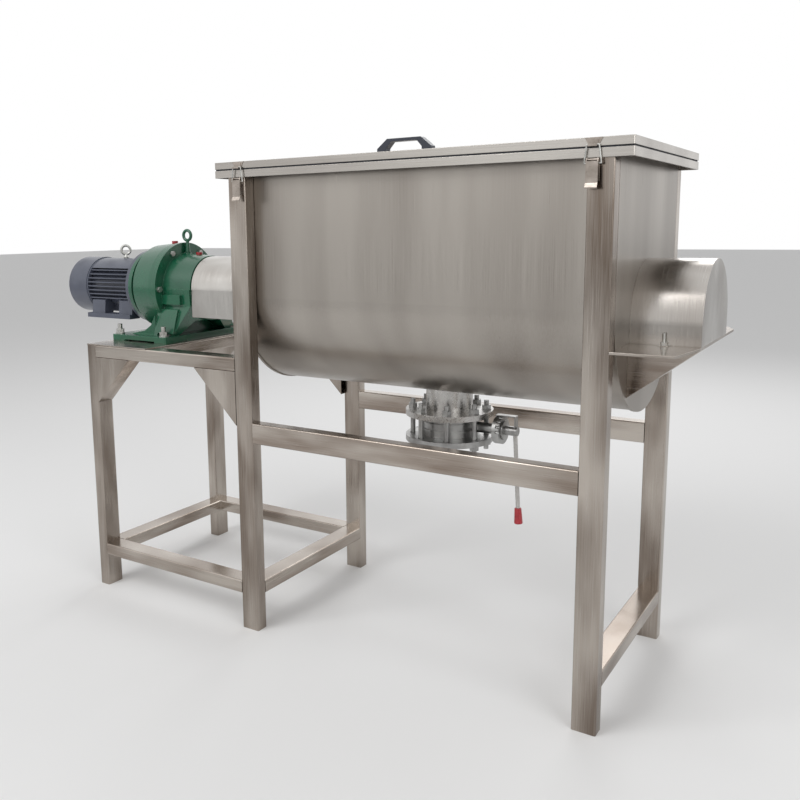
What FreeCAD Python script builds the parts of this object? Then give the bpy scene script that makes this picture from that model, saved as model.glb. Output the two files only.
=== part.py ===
import FreeCAD, Part
import math
import os

# Ribbon blender: a U-shaped trough with a double ribbon agitator on one shaft,
# hung in a six-legged tube frame, driven through a cycloidal reducer.
# Millimetres. While it is built, X = 0 is the middle of the trough, Y = 0 the
# shaft's vertical plane and Z = 0 the floor; the motor is towards -X and the
# front is -Y. The last step moves everything so that the origin lies under the
# centre of the whole machine's box.

Vec = FreeCAD.Vector
X_AXIS, Y_AXIS, Z_AXIS = Vec(1, 0, 0), Vec(0, 1, 0), Vec(0, 0, 1)

# ---- driving dimensions ----------------------------------------------------

# frame tube and its corners
tube_wide = 60.0
tube_narrow = 40.0
tube_wall = 2.0
tube_corner = 4.0

# trough
trough_length = 1080.0
trough_radius = 266.0          # outside of the rounded bottom
trough_wall = 4.0
end_plate_thickness = 8.0
end_plate_proud = 3.0          # past the shell along the rounded bottom
shaft_height = 1000.0

# rim, gasket and lid
rim_top = 1356.0
rim_depth = 20.0
rim_overhang = 42.0            # past the end plates
rim_half_width = 313.0
sheet = 3.0
rim_corner = 4.0
gasket_height = 4.0
gasket_width = 36.0
lid_depth = 18.5
lid_sheet = 2.0

# lid handle
handle_length = 154.0
handle_height = 35.5
handle_depth = 22.0
handle_bar = 7.5
handle_foot = 26.0
handle_pad = 12.0
handle_inset = 62.0            # its centre line behind the lid's front edge
handle_shoulder = 29.0         # how far the top bar stops short of each foot's end

# hinges
hinge_count = 3
hinge_spacing = 400.0
hinge_width = 60.0
hinge_leaf = 2.5
hinge_knuckle_radius = 6.0
hinge_pin_radius = 3.0
hinge_gap = 0.6                # between knuckles
running_clearance = 0.08       # radial, in every pivot and bearing

# toggle latches
latch_inset = 44.5             # from the frame's end faces
latch_width = 27.0
latch_sheet = 1.5
latch_pivot_height = 1331.5
latch_pivot_out = 12.5         # in front of the legs' face
latch_pin_radius = 2.5
latch_lever_top = 3.5          # its plate starts this far below the pivot
latch_lever_reach = 49.0
latch_lip = 12.0
latch_lip_out = 4.0
bail_wire = 3.6
bail_top_width = 27.0
bail_bottom_width = 37.0
bail_drop = 7.5                # its pivot below the lever's
bail_back = 0.5                # its pivot behind the lever's
catch_width = 20.0
catch_room = 4.8               # in front of the bail's bar, for its way out
catch_lip = 3.0

# frame levels
upper_rail_bottom = 579.0
lower_rail_bottom = 108.0
platform_rail_bottom = 786.0
platform_plate = 3.0
motor_stand_reach = 634.0      # left end of the platform from the frame's end face
platform_opening_edge = 365.0  # right edge of the platform's plate from there
gusset_reach = 160.0
motor_gusset_reach = 150.0

# discharge
pipe_radius = 66.5
pipe_wall = 4.0
flange_radius = 125.0
flange_thickness = 16.0
flange_bolt_circle = 105.0
flange_bolt_count = 8
flange_hole_radius = 9.0
upper_flange_bottom = 664.0
valve_length = 58.0
valve_body_radius = 76.0
valve_seat_wall = 5.0
stud_radius = 7.0
stud_overhang = 26.0           # past each flange's outer face
nut_height = 13.0
nut_size = 24.0                # across flats

# valve lever
stem_radius = 9.0
index_plate_start = 147.0      # from the pipe's axis
index_plate_thickness = 21.0
index_plate_radius = 39.0
index_notch_count = 9
hub_radius = 13.0
hub_end = 209.0
pawl_width = 20.0
pawl_sheet = 3.0
lever_radius = 5.8
lever_length = 229.0
lever_lean = 3.2               # degrees, away from the valve
lever_grip_length = 45.0
lever_grip_radius = 12.0

# bearing side
shelf_height = 918.0
shelf_thickness = 6.0
shelf_reach = 161.0
shelf_chamfer_reach = 22.0
shelf_chamfer_width = 146.0
shelf_rear_chamfer = 50.0
bracket_half_width = 155.0
bracket_height = 124.0
bracket_sheet = 5.0
guard_radius = 148.0
guard_centre_height = 965.0
guard_length = 161.0
guard_sheet = 2.0
pillow_length = 238.0
pillow_width = 60.0
pillow_pad = 12.2              # machined pad on the shelf
pillow_shoulder_radius = 58.0
pillow_position = 85.0         # its middle plane from the end plate
pillow_insert_radius = 55.0
pillow_foot_height = 24.0
pillow_bolt_spacing = 184.0
pillow_bolt_radius = 8.0
insert_width = 40.0

# left bearing and coupling
shaft_radius = 30.0
journal_radius = 25.0          # of the shaft's driven end
gland_radius = 50.0
gland_length = 36.0
gland_flange_radius = 66.0
standoff_circle = 78.5
standoff_radius = 8.0
flange_bearing_start = 50.0
flange_bearing_side = 138.0
flange_bearing_plate = 14.0
flange_bearing_boss = 26.0
flange_bearing_radius = 53.0
flange_insert_radius = 45.0
coupling_face = 158.0          # plane between the coupling halves, from the end plate
coupling_radius = 78.0
coupling_disc = 18.0
coupling_hub_radius = 50.0
coupling_hub_length = 44.0
coupling_gap = 3.0
coupling_pin_count = 6
coupling_pin_circle = 60.0
coupling_pin_radius = 8.0
coupling_guard_radius = 106.0
coupling_guard_drop = 90.0     # its edges below the shaft
output_shaft_radius = 27.5

# reducer
reducer_end = 352.0            # output face from the end plate
reducer_base_left = 643.0
reducer_base_right = 393.0
reducer_base_half_width = 190.0
reducer_base_thickness = 19.0
reducer_flange_radius = 152.0
reducer_flange_position = 467.0
reducer_flange_thickness = 18.0
reducer_ring_radius = 150.0
reducer_ring_start_radius = 143.0
reducer_ring_start = 590.0
reducer_ring_chamfer = 10.0
reducer_barrel_radius = 116.0
reducer_barrel_end_radius = 108.0
reducer_wall_thickness = 15.0
foot_bolt_radius = 8.0
foot_bolt_left_inset = 15.0
foot_bolt_right_inset = 29.0
foot_bolt_inset_y = 24.0
foot_bolt_height = 33.0
ring_bolt_count = 6
ring_bolt_circle = 134.0
adapter_radius = 127.0
adapter_start = 624.0
adapter_thickness = 18.0
adapter_neck_radius = 119.0
plug_radius = 10.5
plug_height = 7.0
eyebolt_ring = 16.7
eyebolt_wire = 5.3
eyebolt_neck = 9.0

# motor
motor_flange_radius = 125.0
motor_flange_start = 637.0
motor_body_start = 868.0
motor_body_end = 666.0
motor_core_radius = 79.0
motor_fin_radius = 97.0
motor_fin_pitch = 14.0
motor_fin_thickness = 4.0
motor_fin_count = 8
motor_fin_top = 56.0           # middle of the uppermost fin above the shaft
fan_cover_start = 966.0
fan_cover_radius = 100.0
fan_cover_shoulder = 8.0
fan_cover_sheet = 2.0
fan_grille_bars = 6
motor_foot_height = 112.0
motor_foot_half_width = 100.0
motor_foot_width = 46.0
motor_foot_thickness = 16.0
motor_foot_pad = 66.0
rotor_radius = 14.0
fan_radius = 84.0
fan_blade_count = 8

# agitator
ribbon_turns = 1.0             # in each half
ribbon_starts = 2
ribbon_thickness = 6.0
ribbon_end_gap = 14.0
outer_ribbon_gap = 8.0         # to the trough's wall
outer_ribbon_width = 48.0
inner_ribbon_radius = 142.0
inner_ribbon_width = 42.0
spoke_radius = 12.0
spokes_per_turn = 4

# ---- places that follow from them -------------------------------------------

frame_half_length = trough_length / 2
frame_half_width = trough_radius + tube_narrow
left_end = -frame_half_length
right_end = frame_half_length
trough_bore = trough_radius - trough_wall
inner_half_length = frame_half_length - end_plate_thickness
leg_top = rim_top - sheet
rim_half_length = frame_half_length + rim_overhang
lid_bottom = rim_top + gasket_height
lid_top = lid_bottom + lid_depth
upper_rail_top = upper_rail_bottom + tube_wide
lower_rail_top = lower_rail_bottom + tube_narrow
platform_rail_top = platform_rail_bottom + tube_narrow
platform_top = platform_rail_top + platform_plate
stand_left = left_end - motor_stand_reach
stand_leg_right = stand_left + tube_narrow
platform_edge = left_end - platform_opening_edge
lower_flange_top = upper_flange_bottom - valve_length
stem_height = upper_flange_bottom - valve_length / 2

parts = {}
bearing_fasteners = []
bearing_inserts = []


# ---- helpers ----------------------------------------------------------------

def block(x0, x1, y0, y1, z0, z1):
    return Part.makeBox(x1 - x0, y1 - y0, z1 - z0, Vec(x0, y0, z0))


def rod_x(x0, x1, y, z, radius):
    return Part.makeCylinder(radius, x1 - x0, Vec(x0, y, z), X_AXIS)


def rod_y(y0, y1, x, z, radius):
    return Part.makeCylinder(radius, y1 - y0, Vec(x, y0, z), Y_AXIS)


def rod_z(z0, z1, x, y, radius):
    return Part.makeCylinder(radius, z1 - z0, Vec(x, y, z0), Z_AXIS)


def cone_x(x0, x1, radius0, radius1, z=shaft_height):
    return Part.makeCone(radius0, radius1, x1 - x0, Vec(x0, 0, z), X_AXIS)


def face_of(points):
    return Part.Face(Part.makePolygon(points + [points[0]]))


def prism_x(yz_points, x0, x1):
    return face_of([Vec(x0, y, z) for y, z in yz_points]).extrude(Vec(x1 - x0, 0, 0))


def prism_y(xz_points, y0, y1):
    return face_of([Vec(x, y0, z) for x, z in xz_points]).extrude(Vec(0, y1 - y0, 0))


def prism_z(xy_points, z0, z1):
    return face_of([Vec(x, y, z0) for x, y in xy_points]).extrude(Vec(0, 0, z1 - z0))


def mirror_y(shape):
    return shape.mirror(Vec(0, 0, 0), Y_AXIS)


def mirror_x(shape):
    return shape.mirror(Vec(0, 0, 0), X_AXIS)


def group(shapes):
    return Part.makeCompound(shapes)


def rounded_along(box, axis, radius):
    """Rounds the four edges of a box that run along one axis."""
    index = "xyz".index(axis)
    edges = [e for e in box.Edges
             if abs(e.tangentAt(e.FirstParameter)[index]) > 0.99]
    return box.makeFillet(radius, edges)


def tube(x0, x1, y0, y1, z0, z1, axis, closed_start=False):
    """A rectangular hollow section along one axis."""
    outer = rounded_along(block(x0, x1, y0, y1, z0, z1), axis, tube_corner)
    low, high = [x0, y0, z0], [x1, y1, z1]
    for i, name in enumerate("xyz"):
        if name != axis:
            low[i] += tube_wall
            high[i] -= tube_wall
        elif closed_start:
            low[i] += sheet
    inner = block(low[0], high[0], low[1], high[1], low[2], high[2])
    return outer.cut(inner)


def hexagon_z(x, y, z0, z1, across_flats):
    radius = across_flats / math.sqrt(3)
    corners = [(x + radius * math.cos(math.radians(60 * k)),
                y + radius * math.sin(math.radians(60 * k))) for k in range(6)]
    return prism_z(corners, z0, z1)


def hexagon_x(x0, x1, y, z, across_flats):
    radius = across_flats / math.sqrt(3)
    corners = [(y + radius * math.cos(math.radians(60 * k)),
                z + radius * math.sin(math.radians(60 * k))) for k in range(6)]
    return prism_x(corners, x0, x1)


def around(count, offset_deg=0.0):
    """The angles of a pattern with count members, in radians."""
    return [math.radians(offset_deg + 360.0 * k / count) for k in range(count)]


def arch_solid(x0, x1, radius, centre_z, base_z):
    """A half-round top on straight sides, along X."""
    top = rod_x(x0, x1, 0, centre_z, radius)
    top = top.common(block(x0, x1, -radius, radius, centre_z, centre_z + radius))
    return top.fuse(block(x0, x1, -radius, radius, base_z, centre_z)).removeSplitter()


# ---- frame --------------------------------------------------------------------

def build_frame():
    leg_x = (right_end - tube_wide, right_end)
    leg_y = (trough_radius, frame_half_width)
    rear_right = tube(leg_x[0], leg_x[1], leg_y[0], leg_y[1], 0, leg_top, "z", True)
    rear_left = mirror_x(rear_right)
    stand_inner_y = frame_half_width - tube_wide
    stand_rear = tube(stand_left, stand_leg_right, stand_inner_y, frame_half_width,
                      0, platform_rail_top, "z", True)
    parts["frame_legs"] = group([rear_right, rear_left, mirror_y(rear_right),
                                 mirror_y(rear_left), stand_rear, mirror_y(stand_rear)])

    upper = tube(-leg_x[0], leg_x[0], leg_y[0], leg_y[1],
                 upper_rail_bottom, upper_rail_top, "x")
    parts["upper_rails"] = group([upper, mirror_y(upper)])

    lower_side = tube(stand_leg_right, left_end, stand_inner_y, frame_half_width,
                      lower_rail_bottom, lower_rail_top, "x")
    left_cross = tube(stand_left, stand_left + tube_wide, -stand_inner_y, stand_inner_y,
                      lower_rail_bottom, lower_rail_top, "y")
    right_cross = tube(leg_x[0], leg_x[1], -trough_radius, trough_radius,
                       lower_rail_bottom, lower_rail_top, "y")
    parts["lower_rails"] = group([lower_side, mirror_y(lower_side), left_cross,
                                  mirror_x(right_cross), right_cross])

    platform_side = tube(stand_leg_right, left_end, stand_inner_y, frame_half_width,
                         platform_rail_bottom, platform_rail_top, "x")
    platform_end = tube(stand_left, stand_left + tube_wide, -stand_inner_y, stand_inner_y,
                        platform_rail_bottom, platform_rail_top, "y")
    platform_inner = tube(platform_edge - tube_wide, platform_edge, -stand_inner_y,
                          stand_inner_y, platform_rail_bottom, platform_rail_top, "y")
    parts["platform_rails"] = group([platform_side, mirror_y(platform_side),
                                     platform_end, platform_inner])
    parts["platform_plate"] = block(stand_left, platform_edge, -frame_half_width,
                                    frame_half_width, platform_rail_top, platform_top)


def gusset(corner_x, corner_z, reach, direction):
    """A bent-sheet corner box: two triangular cheeks and a sloped strip."""
    y0, y1 = frame_half_width - tube_wide, frame_half_width
    outline = [(corner_x, corner_z), (corner_x + direction * reach, corner_z),
               (corner_x, corner_z - reach)]
    inset = sheet * math.sqrt(2)
    hollow = [(corner_x, corner_z), (corner_x + direction * (reach - inset), corner_z),
              (corner_x, corner_z - (reach - inset))]
    return prism_y(outline, y0, y1).cut(prism_y(hollow, y0 + sheet, y1 - sheet))


def build_gussets():
    motor_side = gusset(stand_leg_right, platform_rail_bottom, motor_gusset_reach, 1)
    trough_side = gusset(left_end, platform_rail_bottom, gusset_reach, -1)
    parts["corner_gussets"] = group([motor_side, mirror_y(motor_side),
                                     trough_side, mirror_y(trough_side)])


# ---- trough -------------------------------------------------------------------

def u_solid(x0, x1, radius, top):
    """The trough's section, filled: a half-round bottom under straight sides."""
    bottom = rod_x(x0, x1, 0, shaft_height, radius)
    sides = block(x0, x1, -radius, radius, shaft_height, top)
    return bottom.fuse(sides).removeSplitter()


def build_trough():
    outer = u_solid(-inner_half_length, inner_half_length, trough_radius, leg_top)
    inner = u_solid(-inner_half_length, inner_half_length, trough_bore,
                    leg_top + trough_wall)
    outlet = rod_z(shaft_height - trough_radius - pipe_radius, shaft_height, 0, 0,
                   pipe_radius - pipe_wall)
    parts["trough_shell"] = outer.cut(inner).cut(outlet)

    plate = u_solid(inner_half_length, right_end, trough_radius + end_plate_proud, leg_top)
    plate = plate.common(block(inner_half_length, right_end, -trough_radius,
                               trough_radius, 0, leg_top))
    shaft_hole = rod_x(inner_half_length, right_end, 0, shaft_height,
                       shaft_radius + running_clearance)
    plate = plate.cut(shaft_hole)
    parts["end_plates"] = group([plate, mirror_x(plate)])

    rim = rounded_along(block(-rim_half_length, rim_half_length, -rim_half_width,
                              rim_half_width, rim_top - rim_depth, rim_top),
                        "z", rim_corner)
    under = rounded_along(block(-rim_half_length + sheet, rim_half_length - sheet,
                                -rim_half_width + sheet, rim_half_width - sheet,
                                rim_top - rim_depth, leg_top), "z", rim_corner - sheet)
    mouth = block(-inner_half_length, inner_half_length, -trough_bore, trough_bore,
                  leg_top, rim_top)
    parts["rim_flange"] = rim.cut(under).cut(mouth)


# ---- lid ----------------------------------------------------------------------

def build_lid():
    shell = rounded_along(block(-rim_half_length, rim_half_length, -rim_half_width,
                                rim_half_width, lid_bottom, lid_top), "z", rim_corner)
    inside = rounded_along(block(-rim_half_length + lid_sheet, rim_half_length - lid_sheet,
                                 -rim_half_width + lid_sheet, rim_half_width - lid_sheet,
                                 lid_bottom + lid_sheet, lid_top - lid_sheet),
                           "z", rim_corner - lid_sheet)
    mouth_x = rim_half_length - gasket_width - sheet
    mouth_y = rim_half_width - gasket_width - sheet
    mouth = block(-mouth_x, mouth_x, -mouth_y, mouth_y, lid_bottom, lid_bottom + lid_sheet)
    parts["lid_panel"] = shell.cut(inside).cut(mouth)

    seal = block(-rim_half_length + sheet, rim_half_length - sheet, -rim_half_width + sheet,
                 rim_half_width - sheet, rim_top, lid_bottom)
    parts["lid_gasket"] = seal.cut(block(-mouth_x, mouth_x, -mouth_y, mouth_y,
                                         rim_top, lid_bottom))

    half = handle_length / 2
    shoulder = half - handle_shoulder
    inner_foot = half - handle_foot
    inner_shoulder = inner_foot - handle_shoulder / 2
    top = lid_top + handle_height
    pad_top = lid_top + handle_pad
    outline = [(-half, lid_top), (-half, pad_top), (-shoulder, top),
               (shoulder, top), (half, pad_top), (half, lid_top),
               (inner_foot, lid_top), (inner_foot, pad_top),
               (inner_shoulder, top - handle_bar), (-inner_shoulder, top - handle_bar),
               (-inner_foot, pad_top), (-inner_foot, lid_top)]
    y0 = -rim_half_width + handle_inset - handle_depth / 2
    handle = prism_y(outline, y0, y0 + handle_depth)
    edges = [e for e in handle.Edges
             if e.BoundBox.ZMin > pad_top - 1 and e.BoundBox.YLength > 1]
    parts["lid_handle"] = handle.makeFillet(handle_bar / 3, edges)


def hinge_stations():
    middle = (hinge_count - 1) / 2
    return [(k - middle) * hinge_spacing for k in range(hinge_count)]


hinge_y = rim_half_width + hinge_knuckle_radius + 0.5
hinge_z = rim_top + gasket_height / 2


def build_hinges():
    frame_leaves = []
    lid_leaves = []
    third = hinge_width / 3
    y0, y1 = rim_half_width, rim_half_width + hinge_leaf
    leaf_gap = hinge_knuckle_radius + 0.8
    for x in hinge_stations():
        x0, x1 = x - hinge_width / 2, x + hinge_width / 2
        ends = [(x0, x0 + third - hinge_gap / 2), (x1 - third + hinge_gap / 2, x1)]
        leaf = block(x0, x1, y0, y1, rim_top - rim_depth + 2, hinge_z - leaf_gap)
        for a, b in ends:
            leaf = leaf.fuse(block(a, b, y0, y1, hinge_z - leaf_gap, hinge_z))
            leaf = leaf.fuse(rod_x(a, b, hinge_y, hinge_z, hinge_knuckle_radius))
        leaf = leaf.fuse(rod_x(x0, x1, hinge_y, hinge_z, hinge_pin_radius))
        frame_leaves.append(leaf.removeSplitter())

        a, b = x0 + third + hinge_gap / 2, x1 - third - hinge_gap / 2
        moving = block(x0, x1, y0, y1, hinge_z + leaf_gap, lid_top - 1)
        moving = moving.fuse(block(a, b, y0, y1, hinge_z + gasket_height / 2, hinge_z + leaf_gap))
        moving = moving.fuse(rod_x(a, b, hinge_y, hinge_z, hinge_knuckle_radius))
        moving = moving.cut(rod_x(a, b, hinge_y, hinge_z, hinge_pin_radius + running_clearance))
        lid_leaves.append(moving)
    parts["hinge_frame_leaves"] = group(frame_leaves)
    parts["hinge_lid_leaves"] = group(lid_leaves)


# ---- toggle latches -------------------------------------------------------------

latch_y = -frame_half_width - latch_pivot_out
bail_y = latch_y + bail_back
bail_z = latch_pivot_height - bail_drop
bail_bar_y = -rim_half_width - 6.2
bail_bar_z = lid_bottom + 2.5


def latch_stations():
    return {"left": left_end + latch_inset, "right": right_end - latch_inset}


def latch_catch(x):
    """The lid's hook: a plate with spread wings, and a ledge with a lip for the bail."""
    y_face = -rim_half_width
    wing, root = catch_width / 2 + 10, catch_width / 2 + 1
    plate = face_of([Vec(x - wing, y_face, lid_top - 0.5), Vec(x + wing, y_face, lid_top - 0.5),
                     Vec(x + root, y_face, lid_bottom + 2), Vec(x - root, y_face, lid_bottom + 2)])
    plate = plate.extrude(Vec(0, -latch_sheet, 0))
    half = catch_width / 2
    floor = bail_bar_z - bail_wire / 2 - 0.25
    back = bail_bar_y + bail_wire / 2 + 1.4
    lip_y = bail_bar_y - catch_room
    web = block(x - half, x + half, back, y_face, floor - latch_sheet, lid_top - 4)
    ledge = block(x - half, x + half, lip_y, back, floor - latch_sheet, floor)
    lip = block(x - half, x + half, lip_y - latch_sheet, lip_y, floor - latch_sheet,
                floor + catch_lip)
    return plate.multiFuse([web, ledge, lip]).removeSplitter()


def latch_base(x):
    """The plate on the leg with two ears that carry the lever's pin."""
    half = latch_width / 2 - latch_sheet - 0.5
    face = -frame_half_width
    top = latch_pivot_height + 3.6
    plate = block(x - half, x + half, face - latch_sheet, face,
                  latch_pivot_height - 44, top)
    ears = []
    for side in (-1, 1):
        x0 = x + side * half - (latch_sheet if side > 0 else 0)
        ear = prism_x([(face, latch_pivot_height - 16), (face, top), (latch_y - 2, top),
                       (latch_y - 4, latch_pivot_height),
                       (latch_y - 2, latch_pivot_height - 4)], x0, x0 + latch_sheet)
        ears.append(ear)
    pin = rod_x(x - latch_width / 2 - 0.6, x + latch_width / 2 + 0.6, latch_y,
                latch_pivot_height, latch_pin_radius)
    return plate.multiFuse(ears + [pin]).removeSplitter()


def latch_lever(x):
    """A channel-shaped lever with a turned-up lip, pivoted on the base's pin."""
    half = latch_width / 2
    top = latch_pivot_height - latch_lever_top
    bottom = latch_pivot_height - latch_lever_reach
    front = latch_y - 6.0
    tip = front - latch_lip_out
    profile = [(front, top), (front, bottom), (tip, bottom - latch_lip + 3),
               (tip, bottom - latch_lip), (tip + latch_sheet, bottom - latch_lip),
               (tip + latch_sheet, bottom - latch_lip + 3),
               (front + latch_sheet, bottom), (front + latch_sheet, top)]
    plate = prism_x(profile, x - half, x + half)
    cheeks = []
    for side in (-1, 1):
        x0 = x + side * half - (latch_sheet if side > 0 else 0)
        cheek = prism_x([(front, top), (latch_y - 3, latch_pivot_height + 3.2),
                         (latch_y + 3, latch_pivot_height + 3.2), (bail_y + 3.6, bail_z + 3),
                         (bail_y + 3.6, bail_z - 4), (bail_y, bail_z - 6),
                         (front, bottom + 8)], x0, x0 + latch_sheet)
        cheeks.append(cheek)
    lever = plate.multiFuse(cheeks)
    bore = rod_x(x - half - 1, x + half + 1, latch_y, latch_pivot_height,
                 latch_pin_radius + running_clearance)
    eye = rod_x(x - half - 1, x + half + 1, bail_y, bail_z,
                bail_wire / 2 + running_clearance)
    return lever.cut(bore).cut(eye).removeSplitter()


def latch_bail(x):
    """A bent wire loop: two ends in the lever's cheeks and a bar in the hook."""
    radius = bail_wire / 2
    low, high = bail_bottom_width / 2, bail_top_width / 2
    cheek = latch_width / 2
    points = [Vec(x - cheek + latch_sheet, bail_y, bail_z), Vec(x - low, bail_y, bail_z),
              Vec(x - high, bail_bar_y, bail_bar_z), Vec(x + high, bail_bar_y, bail_bar_z),
              Vec(x + low, bail_y, bail_z), Vec(x + cheek - latch_sheet, bail_y, bail_z)]
    bail = None
    for start, end in zip(points, points[1:]):
        direction = end.sub(start)
        run = Part.makeCylinder(radius, direction.Length, start, direction)
        bail = run if bail is None else bail.fuse(run)
    for corner in points[1:-1]:
        bail = bail.fuse(Part.makeSphere(radius, corner))
    return bail


def build_latches():
    stations = latch_stations()
    parts["latch_catches"] = group([latch_catch(x) for x in stations.values()])
    parts["latch_bases"] = group([latch_base(x) for x in stations.values()])
    for side, x in stations.items():
        parts["latch_lever_" + side] = latch_lever(x)
        parts["latch_bail_" + side] = latch_bail(x)


# ---- discharge ------------------------------------------------------------------

def flange_angles():
    return around(flange_bolt_count, 180.0 / flange_bolt_count)


def bolted_ring(z0, z1, bore):
    ring = rod_z(z0, z1, 0, 0, flange_radius).cut(rod_z(z0, z1, 0, 0, bore))
    for a in flange_angles():
        ring = ring.cut(rod_z(z0, z1, flange_bolt_circle * math.cos(a),
                              flange_bolt_circle * math.sin(a), flange_hole_radius))
    return ring


def build_discharge():
    bore = pipe_radius - pipe_wall
    trough_bottom = shaft_height - trough_radius
    pipe_top = trough_bottom + pipe_radius
    pipe = rod_z(upper_flange_bottom, pipe_top, 0, 0, pipe_radius)
    pipe = pipe.cut(rod_z(upper_flange_bottom, pipe_top, 0, 0, bore))
    pipe = pipe.cut(rod_x(-pipe_top, pipe_top, 0, shaft_height, trough_radius))
    flange = bolted_ring(upper_flange_bottom, upper_flange_bottom + flange_thickness, bore)
    parts["discharge_neck"] = flange.fuse(pipe).removeSplitter()
    parts["outlet_flange"] = bolted_ring(lower_flange_top - flange_thickness,
                                         lower_flange_top, bore)

    # the wafer body: two halves that meet at the stem's plane, round a rubber seat
    seat_outer = bore + valve_seat_wall
    stem_bore = rod_x(-valve_body_radius - 1, valve_body_radius + 1, 0, stem_height,
                      stem_radius + running_clearance)
    seat = rod_z(lower_flange_top, upper_flange_bottom, 0, 0, seat_outer)
    seat = seat.cut(rod_z(lower_flange_top, upper_flange_bottom, 0, 0, bore))
    parts["valve_seat"] = seat.cut(stem_bore)
    lip = 4.0
    halves = []
    for z0, z1, lip_z in ((stem_height, upper_flange_bottom, stem_height + 8),
                          (lower_flange_top, stem_height, stem_height - 8 - lip)):
        body = rod_z(z0, z1, 0, 0, valve_body_radius)
        body = body.fuse(rod_z(lip_z, lip_z + lip, 0, 0, valve_body_radius + 3))
        neck = rod_x(valve_body_radius - 6, index_plate_start, 0, stem_height,
                     stem_radius + 6)
        body = body.fuse(neck.common(block(0, index_plate_start, -50, 50, z0, z1)))
        body = body.cut(rod_z(z0, z1, 0, 0, seat_outer)).cut(stem_bore)
        neck_bore = rod_x(0, index_plate_start, 0, stem_height,
                          stem_radius + running_clearance)
        halves.append(body.cut(neck_bore).removeSplitter())
    parts["valve_body"] = group(halves)

    studs = []
    top = upper_flange_bottom + flange_thickness
    bottom = lower_flange_top - flange_thickness
    for a in flange_angles():
        x, y = flange_bolt_circle * math.cos(a), flange_bolt_circle * math.sin(a)
        stud = rod_z(bottom - stud_overhang, top + stud_overhang, x, y, stud_radius)
        studs.append(stud)
        for z in (top, bottom - nut_height):
            nut = hexagon_z(x, y, z, z + nut_height, nut_size)
            studs.append(nut.cut(rod_z(z, z + nut_height, x, y, stud_radius)))
    parts["flange_studs"] = group(studs)


# ---- valve lever -----------------------------------------------------------------

lever_x = hub_end - lever_radius - 2.0


def build_valve_lever():
    plate_x1 = index_plate_start + index_plate_thickness
    plate = rod_x(index_plate_start, plate_x1, 0, stem_height, index_plate_radius)
    plate = plate.cut(rod_x(index_plate_start, plate_x1, 0, stem_height,
                            stem_radius + running_clearance))
    notch = 4.0
    for k in range(index_notch_count):
        a = math.radians(90 + (k - (index_notch_count - 1) / 2) * 22.5)
        plate = plate.cut(rod_x(index_plate_start + index_plate_thickness / 2, plate_x1,
                                index_plate_radius * math.cos(a),
                                stem_height + index_plate_radius * math.sin(a), notch))
    parts["index_plate"] = plate

    # the disc stands across the bore when the lever is across the pipe; at rest the
    # lever hangs down and the disc stands in line with the flow
    bore = pipe_radius - pipe_wall
    disc_radius = bore - 0.6
    thickness = 8.0
    disc = Part.makeCylinder(disc_radius, thickness, Vec(0, -thickness / 2, stem_height), Y_AXIS)
    boss = rod_x(-disc_radius + 4, disc_radius - 4, 0, stem_height, stem_radius + 4)
    hole = rod_x(-disc_radius, disc_radius, 0, stem_height, stem_radius)
    disc = disc.fuse(boss).common(Part.makeSphere(disc_radius, Vec(0, 0, stem_height)))
    parts["butterfly_disc"] = disc.cut(hole).removeSplitter()
    parts["valve_stem"] = rod_x(-bore - valve_seat_wall, hub_end - 4, 0, stem_height,
                                stem_radius)

    hub_start = plate_x1 + 0.4
    hub = rod_x(hub_start, hub_end, 0, stem_height, hub_radius)
    hub = hub.cut(rod_x(hub_start, hub_end - 4, 0, stem_height, stem_radius))
    hub = hub.fuse(rod_x(hub_start, hub_start + 5, 0, stem_height, index_plate_radius - 12)
                   .cut(rod_x(hub_start, hub_start + 5, 0, stem_height, hub_radius)))
    lean = math.radians(lever_lean)
    down = Vec(math.sin(lean), 0, -math.cos(lean))
    socket = Vec(lever_x, 0, stem_height)
    lever_line = Part.makeCylinder(lever_radius, lever_length, socket, down)
    start = socket.add(Vec(down).multiply(stem_radius + 1))
    rod = Part.makeCylinder(lever_radius, lever_length - stem_radius - 1, start, down)
    parts["lever_rod"] = rod.cut(rod_x(0, hub_end, 0, stem_height, stem_radius))
    grip_start = socket.add(Vec(down).multiply(lever_length - 12))
    grip = Part.makeCone(lever_grip_radius - 2.5, lever_grip_radius, lever_grip_length,
                         grip_start, down)
    grip = grip.makeFillet(2.5, [grip.Edges[0], grip.Edges[2]])
    parts["lever_grip"] = grip.cut(rod)

    # the hub carries a pawl: a strip over the plate's edge, bent down onto its top
    strip_z = stem_height + index_plate_radius + 1.0
    half = pawl_width / 2
    strip = block(index_plate_start, hub_end - 4, -half, half, strip_z,
                  strip_z + pawl_sheet)
    drop = block(hub_end - 4 - pawl_sheet, hub_end - 4, -half, half,
                 stem_height + hub_radius - 3.2, strip_z + pawl_sheet)
    parts["lever_hub"] = hub.cut(lever_line).multiFuse([strip, drop]).removeSplitter()


# ---- bearing side ------------------------------------------------------------------

def arch_shell(x0, x1, radius, centre_z, base_z, thickness):
    outer = arch_solid(x0, x1, radius, centre_z, base_z)
    inner = arch_solid(x0, x1, radius - thickness, centre_z, base_z)
    return outer.cut(inner)


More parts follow.
